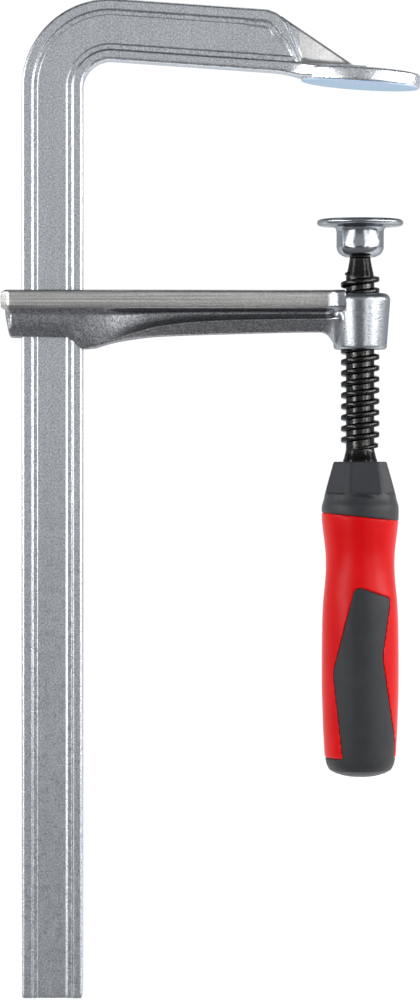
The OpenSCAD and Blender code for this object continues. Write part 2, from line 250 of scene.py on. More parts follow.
def ramp(tree, value, low, high, dark, light):
    """Colours from dark to light as the value goes from low to high."""
    node = tree.nodes.new("ShaderNodeValToRGB")
    first, last = node.color_ramp.elements
    first.position, last.position = low, high
    first.color, last.color = (*dark, 1), (*light, 1)
    tree.links.new(value, node.inputs["Fac"])
    return node.outputs["Color"]


def spread(tree, value, low, high, out_low, out_high):
    """A number from out_low to out_high as the value goes from low to high."""
    node = tree.nodes.new("ShaderNodeMapRange")
    for name, number in zip(("From Min", "From Max", "To Min", "To Max"),
                            (low, high, out_low, out_high)):
        node.inputs[name].default_value = number
    tree.links.new(value, node.inputs["Value"])
    return node.outputs["Result"]


def multiply(tree, a, b):
    """The product of two colours."""
    node = tree.nodes.new("ShaderNodeMix")
    node.data_type = "RGBA"
    node.blend_type = "MULTIPLY"
    node.inputs["Factor"].default_value = 1
    tree.links.new(a, node.inputs["A"])
    tree.links.new(b, node.inputs["B"])
    return node.outputs["Result"]


def product(tree, a, b):
    """The product of two numbers."""
    node = tree.nodes.new("ShaderNodeMath")
    node.operation = "MULTIPLY"
    tree.links.new(a, node.inputs[0])
    tree.links.new(b, node.inputs[1])
    return node.outputs["Value"]


def bump(tree, height, depth, below=None):
    """Surface relief of a depth in millimetres, over any relief below it."""
    node = tree.nodes.new("ShaderNodeBump")
    node.inputs["Strength"].default_value = 1
    node.inputs["Distance"].default_value = depth * MM
    tree.links.new(height, node.inputs["Height"])
    if below is not None:
        tree.links.new(below, node.inputs["Normal"])
    return node.outputs["Normal"]


def blended(tree, factor, a, b, kind="RGBA"):
    """A colour or number that goes from a to b with a factor."""
    node = tree.nodes.new("ShaderNodeMix")
    node.data_type = kind
    tree.links.new(factor, node.inputs["Factor"])
    ends = [i for i in node.inputs if i.name in "AB" and i.type == kind.replace("FLOAT", "VALUE")]
    for end, value in zip(ends, (a, b)):
        if isinstance(value, bpy.types.NodeSocket):
            tree.links.new(value, end)
        else:
            end.default_value = value
    return [o for o in node.outputs if o.type == kind.replace("FLOAT", "VALUE")][0]


def along(tree, place, axis):
    """One of the coordinates, by its axis."""
    split = tree.nodes.new("ShaderNodeSeparateXYZ")
    tree.links.new(place, split.inputs["Vector"])
    return split.outputs[axis]


def steel(name, dark, light, rough, grain, depth, streak=None, finish_and_painted_light=None,
          edge=(0.6, 0.64, 0.68)):
    """Zinc-plated or oxidised steel: fine grain, broad clouds, and streaks along one axis. Where
    given, the area function of the tree and place adds a differently finished area or paints light
    or shade on one. The edge colour is the steel's tint where it is seen edge-on."""
    material, tree, shader, place = nodes_of(name)
    fine = noise(tree, place, grain, 4)
    clouds = noise(tree, place, 90, 4, 0.6)
    colour = multiply(tree, ramp(tree, fine, 0.32, 0.68, dark, light),
                      ramp(tree, clouds, 0.3, 0.7, (0.95, 0.95, 0.955), (1, 1, 1)))
    relief = bump(tree, fine, depth)
    if streak:
        lines = noise(tree, stretched(tree, place, streak), 1, 3)
        paler = ramp(tree, lines, 0.35, 0.65, (0.94, 0.94, 0.94), (1, 1, 1))
        colour = multiply(tree, colour, paler)
        relief = bump(tree, lines, depth * 0.6, relief)
    relief = bump(tree, noise(tree, place, 260, 3), depth * 0.25, relief)
    dull = spread(tree, noise(tree, place, 420, 5, 0.65), 0.3, 0.7, *rough)
    if finish_and_painted_light:
        colour, dull = finish_and_painted_light(tree, place, colour, dull)
    tree.links.new(colour, shader.inputs["Base Color"])
    tree.links.new(dull, shader.inputs["Roughness"])
    tree.links.new(relief, shader.inputs["Normal"])
    shader.inputs["Metallic"].default_value = 1
    shader.inputs["Specular Tint"].default_value = (*edge, 1)
    return material


def grain_of(tree, place, dark, light):
    """Fine grain from a dark colour to a light one."""
    return ramp(tree, noise(tree, place, 1700, 3), 0.3, 0.7, dark, light)


def arm_finish_and_painted_shade(tree, place, colour, dull):
    """The boss at the arm's tip is turned and bright, the band along its top is paler with streaks
    that run along the arm, and the rest is painted darker, as painted shade of the recess and
    underside."""
    boss = spread(tree, along(tree, place, "X"), -0.0135, -0.0095, 0, 1)
    top = ARM_TOP * MM
    band = spread(tree, along(tree, place, "Z"), top - 0.0068, top - 0.006, 0, 1)
    streaks = noise(tree, stretched(tree, place, (12, 60, 1500)), 1, 3, 0.6)
    pale_tone = ramp(tree, streaks, 0.3, 0.7, (0.4, 0.39, 0.37), (0.84, 0.83, 0.81))
    # Painted shade: everything under the band keeps the darker colour.
    lit = blended(tree, band, colour, pale_tone)
    lit = blended(tree, boss, lit, (0.42, 0.44, 0.47, 1))
    grain = grain_of(tree, place, (0.7, 0.7, 0.7), (1, 1, 1))
    return multiply(tree, lit, grain), blended(tree, boss, dull, 0.25, "FLOAT")


def above_jaw(tree, place):
    """Height over the plane of the jaw's clamping face."""
    node = tree.nodes.new("ShaderNodeVectorMath")
    node.operation = "DOT_PRODUCT"
    node.inputs[1].default_value = (math.sin(SLOPE), 0, math.cos(SLOPE))
    tree.links.new(place, node.inputs[0])
    return node.outputs["Value"]


def jaw_and_rib_painted_light(tree, place, colour, dull):
    """The jaw's clamping face, which faces down, is painted blue-grey, a painted reflection of
    bright light from below, and the rib over the jaw plate is painted paler, a painted highlight."""
    x, height = along(tree, place, "X"), above_jaw(tree, place)
    face = product(tree, spread(tree, height, 0.0002, 0.0005, 1, 0),
                   spread(tree, height, -0.001, -0.0006, 0, 1))
    plate = product(tree, face, spread(tree, x, -0.026, -0.024, 0, 1))
    # Painted reflection: the downward clamping face is tinted blue-grey.
    reflection_tint = ramp(tree, noise(tree, place, 35, 2), 0.3, 0.7, (0.4, 0.62, 0.76), (0.52, 0.64, 0.84))
    colour = blended(tree, plate, colour, reflection_tint)
    # Painted highlight: the rib's side is painted paler.
    rib = product(tree, spread(tree, x, -0.0225, -0.0215, 0, 1),
                  spread(tree, along(tree, place, "Z"), 0.006, 0.0075, 0, 1))
    pale_tone = grain_of(tree, place, (0.8, 0.79, 0.78), (0.97, 0.96, 0.95))
    return blended(tree, rib, colour, pale_tone), dull


def plastic(name, dark, light, rough, grain, depth, gloss=0.3, sheen=0.0):
    """Moulded plastic: a slightly uneven colour, spark-eroded grain and fine scratches."""
    material, tree, shader, place = nodes_of(name)
    clouds = noise(tree, place, 60, 4, 0.6)
    fine = noise(tree, place, grain, 2)
    scratches = noise(tree, stretched(tree, place, (900, 900, 60)), 1, 4, 0.7)
    tree.links.new(ramp(tree, clouds, 0.3, 0.7, dark, light), shader.inputs["Base Color"])
    tree.links.new(spread(tree, scratches, 0.3, 0.7, *rough), shader.inputs["Roughness"])
    relief = bump(tree, scratches, depth * 0.4, bump(tree, fine, depth))
    tree.links.new(relief, shader.inputs["Normal"])
    shader.inputs["Specular IOR Level"].default_value = gloss
    shader.inputs["Sheen Weight"].default_value = sheen
    return material


# The rail's jaw face carries a painted reflection and its rib a painted highlight.
zinc_steel = steel("zinc_steel", (0.42, 0.445, 0.47), (0.9, 0.93, 0.97), (0.24, 0.38),
                   1700, 0.05, (500, 500, 14), finish_and_painted_light=jaw_and_rib_painted_light)
# The arm's dark colours are painted shade for its body below the band.
forged_zinc = steel("forged_zinc", (0.19, 0.197, 0.205), (0.52, 0.525, 0.54), (0.28, 0.42),
                    1500, 0.06, finish_and_painted_light=arm_finish_and_painted_shade, edge=(0.45, 0.48, 0.52))
bright_zinc = steel("bright_zinc", (0.3, 0.32, 0.345), (0.42, 0.44, 0.47), (0.13, 0.22),
                    1500, 0.004, edge=(0.45, 0.47, 0.5))
black_oxide = steel("black_oxide", (0.018, 0.0175, 0.017), (0.06, 0.058, 0.056), (0.1, 0.2),
                    1300, 0.006, (30, 30, 900))
spring_steel = steel("spring_steel", (0.3, 0.3, 0.32), (0.5, 0.5, 0.52), (0.25, 0.4), 1500, 0.003)
red_plastic = plastic("red_plastic", (0.68, 0.002, 0.003), (0.76, 0.004, 0.005), (0.28, 0.38),
                      1500, 0.004, gloss=0.15)
black_plastic = plastic("black_plastic", (0.028, 0.03, 0.034), (0.04, 0.042, 0.047), (0.38, 0.52),
                        1400, 0.008)
soft_grip = plastic("soft_grip", (0.022, 0.023, 0.026), (0.034, 0.035, 0.039), (0.46, 0.6),
                    1200, 0.016, sheen=0.08)


# --- Rail, bend, fixed arm and jaw ---

RAIL_W = 22.0
HALF_T = 5.25
LEDGE = 0.8
WEB = 2.0
EDGE_R = 1.05
BEND_R = 10.0
BEND_X = RAIL_LOW[0] + RAIL_W + BEND_R
LIFT = 2.6
BEND_Z = (LIFT - BEND_R - BEND_X * math.sin(SLOPE)) / math.cos(SLOPE)
JAW_A, JAW_B, JAW_T = 21.5, 17.0, 5.2
NECK_BACK = 20.8
NOSE_LEAN = math.radians(64)
NOSE_R = 10.0
RIB_T = 3.25
RIB_TOP = np.array([-28.1, 21.5])
RIB_FOOT = np.array([0.5, JAW_T])
RIB_SLOPE = (RIB_FOOT - RIB_TOP) / np.linalg.norm(RIB_FOOT - RIB_TOP)
RIB_ROUND = 1.3
RIB_FILLET = 2.6
SHELF = 3.5                 # where a section's rows begin, over its inner edge
INNER_LEDGE, INNER_WEB = (3.2, 4.0), (5.4, 6.9)     # the channel's steps, from the inner edge
OUTER_LEDGE, OUTER_WEB = (3.7, 4.25), (5.7, 6.25)   # and from the outer edge


def on_arm(u, w):
    """A point u along the fixed arm and w above the jaw's face, as x and z."""
    return (u * math.cos(SLOPE) + w * math.sin(SLOPE), w * math.cos(SLOPE) - u * math.sin(SLOPE))


def nose_contour():
    """The line where the bar's full section ends, from its top round and down to the jaw."""
    top = LIFT + RAIL_W
    run = (top - JAW_T) / math.tan(NOSE_LEAN)
    brow = (-NECK_BACK - run, top)
    tip = (-NECK_BACK + JAW_T / math.tan(NOSE_LEAN), 0)
    return np.array([(-60, top)] + rounded((-60, top), brow, tip, NOSE_R, 24) + [tip])


CONTOUR = nose_contour()


def inside_contour(u, w):
    """Distance from the bar's end contour, positive within the bar."""
    a, b = CONTOUR[:-1], CONTOUR[1:]
    d = b - a
    p = np.stack([u, w], -1)[..., None, :]
    t = np.clip(((p - a) * d).sum(-1) / (d * d).sum(-1), 0, 1)
    near = a + t[..., None] * d
    away = np.linalg.norm(p - near, axis=-1)
    best = away.argmin(-1)
    distance = np.take_along_axis(away, best[..., None], -1)[..., 0]
    line = np.interp(w, CONTOUR[::-1, 1], CONTOUR[::-1, 0])
    within = (u < line) & (w < LIFT + RAIL_W)
    return np.where(within, distance, -distance)


def flank(outer, inner, flow=0.0):
    """Half thickness of the bar, from the distances to its outer and inner edges. The channel's
    outer wall widens into a slope as its flow goes from 0 to 1."""
    ledge = step(outer, OUTER_LEDGE[0], OUTER_LEDGE[1] + 0.6 * flow)
    web = step(outer, OUTER_WEB[0], OUTER_WEB[1] + 2.2 * flow)
    from_outer = HALF_T - LEDGE * ledge - (WEB - LEDGE) * web
    from_inner = (HALF_T - LEDGE * step(inner, *INNER_LEDGE)
                  - (WEB - LEDGE) * step(inner, *INNER_WEB))
    near = np.clip(np.minimum(outer, inner), 0, EDGE_R)
    corner = EDGE_R - np.sqrt(EDGE_R ** 2 - (EDGE_R - near) ** 2)
    return np.maximum(from_outer, from_inner) - corner


nose_flare = curve([(-60, HALF_T), (-29, HALF_T), (-26, 5.4), (-24, 5.8), (-22, 6.6), (-20, 7.9),
                    (-18, 9.5), (-16, 10.9), (-13, 12.6), (-8, 14.6), (2, 15.6)])
nose_floor = curve([(-60, 0), (-32, 0), (-28, -0.2), (-24, -0.8), (-20, -1.35), (2, -1.35)])
shelf_top = curve([(-60, 3.5), (-24, 3.6), (-21, 3.55), (-17, 3.1), (2, 3.1)])


def bar_rows():
    """Heights over the inner edge at which a section has points, closer together at its steps."""
    steps = [(SHELF, INNER_LEDGE[1]), INNER_WEB]
    steps += [(RAIL_W - far, RAIL_W - near) for near, far in (OUTER_WEB, OUTER_LEDGE)]
    rows = np.arange(SHELF, RAIL_W - EDGE_R, 0.25)
    for a, b in steps:
        rows = np.concatenate([rows[(rows < a - 0.1) | (rows > b + 0.1)], np.linspace(a, b, 6)])
    corner = RAIL_W - EDGE_R + EDGE_R * np.sin(np.radians([0, 18, 36, 54, 72, 90]))
    return np.unique(np.concatenate([rows, corner]).round(4))


ROWS = bar_rows()


def section_top(u, base):
    """Height of a section's top: the bar's, then the rib's, and never under the shelf."""
    bar = np.interp(u, CONTOUR[:, 0], CONTOUR[:, 1]) if u < RIB_TOP[0] + 6 else 0
    ahead = u - RIB_TOP[0]
    ridge = RIB_TOP[1] + ahead * RIB_SLOPE[1] / RIB_SLOPE[0] if u > RIB_TOP[0] - 2 else 0
    return max(bar, ridge, base + LIFT + 0.05) - LIFT


def rib_side(u, rows, base, top):
    """Half thickness of the rib, which has a fillet at its foot and a rounded top."""
    foot = np.clip(1 - (rows - base) / RIB_FILLET, 0, 1)
    fillet = RIB_FILLET * (1 - np.sqrt(1 - foot ** 2)) * step(u, -26, -22)
    rib = RIB_T + 0.9 - 2.6 * float(step(u, -28, 4)) + fillet
    under = np.clip((top - rows) * RIB_SLOPE[0], 0, RIB_ROUND)
    return rib - (RIB_ROUND - np.sqrt(RIB_ROUND ** 2 - (RIB_ROUND - under) ** 2))


def upper_side(u, rows, base, top):
    """Half widths above the shelf: the bar's, going over into the rib's where the bar ends."""
    depth = RAIL_W - rows
    if u > -56:
        depth = inside_contour(np.full(len(rows), float(u)), rows + LIFT)
    narrow = 1 + 1.3 * step(u, -34, -27) * (1 - step(rows, 6, 17))
    bar = flank(np.clip(depth, 0, None) * narrow, rows, float(step(u, -46, -36)))
    rib = rib_side(u, rows, base, top)
    return rib + (np.maximum(bar, rib) - rib) * step(depth, -0.9, 0.1)


def lower_side(u, base, wide, inner):
    """Points from the middle of the underside out to its full width and in over the shelf."""
    floor = float(nose_floor(u))
    r = EDGE_R
    ease = 0.3 + 0.5 * float(step(u, -26, -20))
    points = [(0, floor), (wide * 0.3, floor), (wide * 0.6, floor), (wide - r, floor)]
    points += [(wide - r + r * math.sin(a), floor + r - r * math.cos(a))
               for a in np.radians([18, 36, 54, 72, 90])]
    points += [(wide, floor + r + (base - ease - floor - r) * t) for t in (0.35, 0.7, 1)]
    points += [(wide - ease + ease * math.cos(a), base - ease + ease * math.sin(a))
               for a in np.radians([30, 60, 88])]
    inner_y = min(inner, wide - ease - 0.02)
    return points + [(wide - ease + (inner_y - wide + ease) * t, base) for t in (0.33, 0.66)]


def bar_section(u):
    """Half a section at u along the fixed arm: half widths, and heights over the inner edge."""
    base, wide = float(shelf_top(u)), float(nose_flare(u))
    top = section_top(u, base)
    rows = base + (ROWS - ROWS[0]) * (top - base) / (ROWS[-1] - ROWS[0])
    side = upper_side(u, rows, base, top)
    half = lower_side(u, base, wide, side[0]) + list(zip(np.minimum(side, wide), rows))
    last = half[-1][0]
    return half + [(last * 0.66, top + 0.001), (last * 0.33, top + 0.002), (0, top + 0.003)]


def full_ring(half, place):
    """A closed ring from half a section, mirrored in Y, with each (y, height) put in place."""
    ring = [place(y, h) for y, h in half]
    back = [place(-y, h) for y, h in half[-2:0:-1]]
    return ring + back


def build_rail():
    """The rail, the bend and the fixed arm as one swept forging, joined to the jaw plate."""
    straight = bar_section(-59)
    rings = []

    def at_leg(z):
        return lambda y, h: (BEND_X - BEND_R - h, y, z)

    foot = RAIL_LOW[2]
    middle = RAIL_W / 2
    for rise, draw in ((0, 0.9), (0.12, 0.45), (0.42, 0.12), (0.9, 0)):
        shrunk = [(y * (1 - draw / HALF_T), middle + (h - middle) * (1 - draw / middle))
                  for y, h in straight]
        rings.append(full_ring(shrunk, at_leg(foot + rise)))
    for z in np.linspace(foot + 2, BEND_Z, 14):
        rings.append(full_ring(straight, at_leg(z)))
    turn = math.pi / 2 + SLOPE
    for t in np.linspace(0, 1, 49)[1:-1]:
        a = math.pi - turn * t
        rings.append(full_ring(straight, lambda y, h, a=a: (
            BEND_X + (BEND_R + h) * math.cos(a), y, BEND_Z + (BEND_R + h) * math.sin(a))))
    arm_start = BEND_X * math.cos(SLOPE) - BEND_Z * math.sin(SLOPE)
    stations = np.concatenate([np.linspace(arm_start, -46, 6), np.arange(-45.6, 1.2, 0.3), [1.2]])
    for u in stations:
        rings.append(full_ring(bar_section(u), lambda y, h, u=u: (
            on_arm(u, h + LIFT)[0], y, on_arm(u, h + LIFT)[1])))
    bar = skin("rail_forging", rings)
    combine(bar, build_plate(), "UNION")
    return bar


def build_plate():
    """The oval jaw plate, with a rounded rim."""
    edge = 0.9
    profile = [(edge + 2.5, 0.0)]
    profile += [(edge - edge * math.sin(a), edge - edge * math.cos(a)) for a in QUARTER]
    profile += [(0, JAW_T / 2)]
    profile += [(edge - edge * math.cos(a), JAW_T - edge + edge * math.sin(a)) for a in QUARTER]
    profile += [(edge + 2.5, JAW_T + 0.02)]
    rings = []
    for inset, w in profile:
        ring = []
        for t in np.linspace(0, 2 * math.pi, 160, endpoint=False):
            x, z = on_arm((JAW_A - inset) * math.cos(t), w)
            ring.append((x, (JAW_B - inset) * math.sin(t), z))
        rings.append(ring)
    return skin("plate", rings)


# --- Sliding arm ---

ARM_BACK = ARM_LOW[0]
BOSS_R, BOSS_FOOT_R = ARM_HIGH[0], 9.6
HEEL = -96.5
SKIRT_BACK = ARM_BACK + 1.6
BAND_H = 6.4
BAND_R = 1.1
SLIDE_GAP = 0.35
BORE_GAP = 0.15

arm_floor = curve([(-126.2, -17), (-108, -17), (-105.5, -17.3), (-103.5, -18.4), (-101.3, -20.7),
                   (-96.5, -20.9), (-93.5, -20.1), (-90.8, -19.3), (-87.9, -18.6), (-82.9, -17.8),
                   (-75.6, -16.9), (-68.4, -16.5), (-57.6, -16.1), (-43, -15.7), (-28.7, -15.3),
                   (-14.5, -15.1), (-12, -15.9), (-10.4, -17.6), (-9.2, -19.6), (-5, -20)])
arm_ridge = curve([(-130, -14.5), (-105, -15.5), (-96.4, -20), (-90, -18.4), (-84.3, -16.4),
                   (-75.1, -13.6), (-64, -11.8), (-50.4, -10.9), (-30.9, -10.4), (-5, -10.1)])
band_half = curve([(-130, 10), (HEEL, 10), (-14, 7.4), (-11, 7.8), (-8.5, 9.2), (-5, 9.4)])
body_half = curve([(-130, 8.6), (-100, 8.6), (HEEL, 8.3), (-90, 7.2), (-84, 5.6), (-78, 4.3),
                   (-68, 3.4), (-14, 3.2), (-11, 4.2), (-8.8, 7.2), (-5, 7.6)])
keel_half = curve([(-130, 7.8), (-100, 7.9), (HEEL, 8.0), (-88, 7.7), (-80, 6.8), (-68, 6.1),
                   (-14, 5.7), (-11, 6.2), (-8.8, 7.8), (-5, 8)])
recess_floor = curve([(-130, -9), (-100, -9), (-88, -8.8), (-70, -8), (-5, -7.8)])


def arm_section(x):
    """Half a section of the sliding arm, from its top round to its underside."""
    back = x - ARM_BACK
    crown = 2 - math.sqrt(max(0, 4 - (2 - min(back, 2)) ** 2))
    band = min(float(band_half(x)), 7.2 + back)
    skirt = x - SKIRT_BACK
    body = min(float(body_half(x)), 6.4 + max(skirt, 0))
    keel = min(float(keel_half(x)), 6.6 + max(skirt, 0))
    ridge, floor, recess = float(arm_ridge(x)), float(arm_floor(x)), float(recess_floor(x))
    if skirt < 1.6:
        floor = -BAND_H - 0.2 if skirt < 0 else -9 - 8 * skirt / 1.6
    ridge = max(ridge, floor + 0.9)
    points = [(0, 0), (band * 0.5, 0), (band - BAND_R, 0)]
    points += [(band - BAND_R + BAND_R * math.sin(a), -BAND_R + BAND_R * math.cos(a))
               for a in QUARTER[1:]]
    points += [(band, -BAND_H * 0.5), (band, -BAND_H + 0.5), (band - 0.15, -BAND_H + 0.1),
               (band - 0.5, -BAND_H - 0.25)]
    points += [(band - 0.5 + (body - band + 0.5) * t,
                -BAND_H - 0.25 + (recess + BAND_H + 0.25) * s)
               for t, s in ((0.45, 0.35), (0.8, 0.65), (1, 1))]
    points += [(body + (keel - body) * t, recess + (ridge - recess) * s)
               for t, s in ((0.05, 0.3), (0.2, 0.6), (0.55, 0.84), (0.85, 0.96))]
    undercut = min(3.2, 0.62 * (ridge - floor))
    points += [(keel, ridge - 0.1), (keel - 0.12, ridge - 0.45)]
    points += [(keel - 0.12 - undercut * t, ridge - 0.45 + (floor + 0.55 - ridge) * t)
               for t in (0.35, 0.7, 1)]
    low = keel - 0.12 - undercut
    points += [(low - 0.3, floor + 0.02), (low - 0.8, floor), (low * 0.4, floor), (0, floor)]
    return [(y, min(max(z, floor), -crown)) for y, z in points]


def build_arm():
    """The sliding arm with its boss, cut by the eye for the rail and the bore for the spindle."""
    stations = np.concatenate([
        ARM_BACK + np.array([0, 0.15, 0.4, 0.8, 1.2, 1.55, 1.65, 1.8, 2.1, 2.5, 2.9, 3.2]),
        np.arange(-125.6, -5, 0.8)])
    rings = [full_ring(arm_section(x), lambda y, z, x=x: (x, y, ARM_TOP + z)) for x in stations]
    arm = skin("sliding_arm_forging", rings)
    top, r = ARM_TOP - 1, 2.4
    boss_foot = top - 20.3
    profile = [(4, boss_foot), (BOSS_FOOT_R - 0.6, boss_foot), (BOSS_FOOT_R, boss_foot + 0.6)]
    profile += arc(BOSS_R - r, top - r, r, 0, 90, 8) + [(4, top)]
    combine(arm, lathe("boss", profile), "UNION")
    eye_low = (RAIL_LOW[0] - SLIDE_GAP, -HALF_T - SLIDE_GAP, ARM_TOP - 40)
    eye_high = (RAIL_LOW[0] + RAIL_W + SLIDE_GAP, HALF_T + SLIDE_GAP, ARM_TOP + 5)
    combine(arm, block("slot", eye_low, eye_high), "DIFFERENCE")
    bore = THREAD_R + BORE_GAP
    combine(arm, lathe("bore", [(bore, ARM_TOP - 40), (bore, ARM_TOP + 5)]), "DIFFERENCE")
    return forge(arm, 0.36, 6)


# --- Spindle and pressure plate ---

PAD_TOP = PAD_HIGH[2]
BALL_R = 5.7
BALL_Z = SCREW_HIGH[2] - BALL_R
NECK_R = 3.6
THREAD_R = 7.0
THREAD_DEPTH = 1.85
ROOT_R = THREAD_R - THREAD_DEPTH
PITCH = 4.0
NECK_FOOT = BALL_Z - math.sqrt(BALL_R ** 2 - NECK_R ** 2)
ROOT_TOP = NECK_FOOT - 8.5
THREAD_TOP = ROOT_TOP + 1.6
THREAD_FOOT = THREAD_TOP - 64
HANDLE_TOP = COLLAR_HIGH[2]
THREAD_START = math.radians(210)
SHANK_R = 6.2
TANG_HALF = 4.5
FIT = 0.05


def build_thread():
    """The thread's ridge: a trapezoid with rounded crests swept up the helix."""
    per_turn = 56
    sunk = 0.35
    crest, flank_run = 0.73, (THREAD_DEPTH + sunk) * math.tan(math.radians(15))
    section = [(0, -crest - flank_run), (0.82, -crest - 0.2), (0.94, -crest - 0.06),
               (1, -crest + 0.2), (1, crest - 0.2), (0.94, crest + 0.06), (0.82, crest + 0.2),
               (0, crest + flank_run)]
    count = round((THREAD_TOP - THREAD_FOOT) / PITCH * per_turn)
    fade_in, fade_out = per_turn * 0.55, per_turn * 0.55
    rings = []
    for i in range(count + 1):
        a = THREAD_START + 2 * math.pi * i / per_turn
        z = THREAD_FOOT + PITCH * i / per_turn
        grow = min(1, max(0.03, i / fade_in), max(0.03, (count - i) / fade_out))
        ring = []
        for height, rise in section:
            r = ROOT_R - sunk + (THREAD_DEPTH + sunk) * height * (0.2 + 0.8 * grow)
            ring.append((r * math.cos(a), r * math.sin(a), z + rise * (0.25 + 0.75 * grow)))
        rings.append(ring)
    return skin("ridge", rings)


def build_spindle():
    """The spindle: tang, shank, shoulder, thread, neck and ball."""
    neck = [(NECK_R + (ROOT_R - NECK_R) * t ** 1.35, NECK_FOOT - 8.5 * t)
            for t in np.linspace(1, 0, 12)]
    ball_start = math.degrees(math.asin(NECK_R / BALL_R)) - 90
    profile = [(4.6, HANDLE_TOP - 12), (SHANK_R, HANDLE_TOP - 11.4), (SHANK_R, HANDLE_TOP + 0.6),
               (SHANK_R - 0.25, HANDLE_TOP + 1), (ROOT_R + 0.2, THREAD_FOOT - 0.8),
               (ROOT_R, THREAD_FOOT)]
    profile += neck + arc(0, BALL_Z, BALL_R, ball_start + 2, 86, 24)
    spindle = lathe("spindle_screw", profile, 96)
    combine(spindle, build_thread(), "UNION")
    combine(spindle, hexagon("tang", TANG_HALF, SCREW_LOW[2], HANDLE_TOP - 11.8), "UNION")
    return spindle


def build_pad():
    """The pressure plate: a thin round plate and the cup that holds the ball."""
    cup_r = BALL_R + 0.15
    cup_out, edge = cup_r + 2.75, 1.15
    face, foot, rim = PAD_TOP - BALL_Z, -cup_r + 0.2, PAD_HIGH[0]
    mouth = 5.3
    profile = [(0.4, face), (rim - 2.4, face)]
    profile += arc(rim - edge, face - edge, edge, 80, -80, 8)
    profile += [(cup_out + 3.2, face - 2.45), (cup_out + 1.0, face - 2.75),
                (cup_out + 0.35, face - 3.1), (cup_out + 0.1, face - 3.6),
                (cup_out - 0.05, face - 4.4), (cup_out - 0.05, foot + 5)]
    profile += arc(cup_out - 3.75, foot + 3.75, 3.7, 0, -78, 10)
    profile += [(mouth + 0.25, foot), (mouth, foot + 0.25), (mouth, foot + 0.7),
                (cup_r, foot + 0.8), (cup_r, 0)]
    profile += arc(0, 0, cup_r, 8, 86, 12)
    profile = [(r, z + BALL_Z) for r, z in profile]
    return lathe("swivel_plate", profile, 144)


# --- Handle ---

HANDLE_L = HANDLE_TOP - GRIP_LOW[2]
SEAM = -19.7
SEAM_SLANT = math.radians(6)
CAP_H = 7.0
handle_r = curve([(-111.3, 11.1), (-109.6, 12.1), (-107.7, 12.6), (-100.5, 13.2), (-90, 13.65),
                  (-78.8, 13.9), (-70, 13.9), (-64.4, 13.85), (-57, 13.7), (-50, 13.35),
                  (-44, 12.75), (-38, 12.4), (-33, 12.5), (-28.3, 13.0), (-23.5, 13.6),
                  (-19.6, 13.9), (-15.5, 13.75), (-13.9, 13.2), (-11.3, 12.75), (0, 9.7)])


def handle_body(name, inset):
    """The whole handle as a body of revolution, drawn in by an inset."""
    end = -HANDLE_L + inset
    profile = [(3, end), (4.5, end + 0.05), (6.7 - inset, end + 0.45), (9.2 - inset, end + 1.25)]
    profile += [(float(handle_r(z)) - inset, z) for z in np.linspace(-111.3 + inset, -0.3, 110)]
    profile += [(9.4 - inset, 0), (3, 0)]
    return lathe(name, [(r, HANDLE_TOP + z) for r, z in profile], 144)


def panel_outline():
    """Outline of a grip panel, which slants across the handle and runs into the end cap."""
    low = -HANDLE_L + CAP_H - 2
    top_l, top_r, pinch = (-2.2, -44.4), (10.6, -49), (7.5, -70)
    foot_r, foot_l, belly = (13.4, low), (-6.4, low), (-10.1, -75.5)
    outline = rounded(belly, top_l, top_r, 2.6) + rounded(top_l, top_r, pinch, 1.8)
    outline += rounded(top_r, pinch, foot_r, 12) + [foot_r, foot_l]
    outline += rounded(foot_l, belly, top_l, 9)
    return outline


def soft_shape(name, inset):
    """Two panels on opposite sides and the end cap that joins them."""
    outline = [(x, HANDLE_TOP + z) for x, z in panel_outline()]
    shape = prism(name, outline, -40, -4)
    combine(shape, prism("panel", [(-x, z) for x, z in outline], 4, 40), "UNION")
    cap = lathe("cap", [(20, GRIP_LOW[2] - 2), (20, GRIP_LOW[2] + CAP_H)], 64)
    combine(shape, cap, "UNION")
    combine(shape, handle_body("skin", inset), "INTERSECT")
    floor = handle_body("floor", 1.9)
    above_cap = [(25, GRIP_LOW[2] + 3.4), (25, HANDLE_TOP + 5)]
    combine(floor, lathe("keep", above_cap, 64), "INTERSECT")
    combine(shape, floor, "DIFFERENCE")
    return shape


def seam_block(name):
    """Everything above the slanted seam."""
    piece = block(name, (-40, -40, 0), (40, 40, 60))
    turn = Matrix.Rotation(SEAM_SLANT, 4, "Y")
    piece.data.transform(Matrix.Translation((0, 0, (HANDLE_TOP + SEAM) * MM)) @ turn)
    return piece


def build_handle_core():
    """The red body below the seam, with pockets for the soft panels and a hole for the tang."""
    core = handle_body("handle_core_shell", 0)
    combine(core, seam_block("seam"), "DIFFERENCE")
    combine(core, soft_shape("pocket", -0.3), "DIFFERENCE")
    hole = hexagon("hole", TANG_HALF + FIT, SCREW_LOW[2] - 1, HANDLE_TOP)
    combine(core, hole, "DIFFERENCE")
    return forge(core, 0.4, 3)


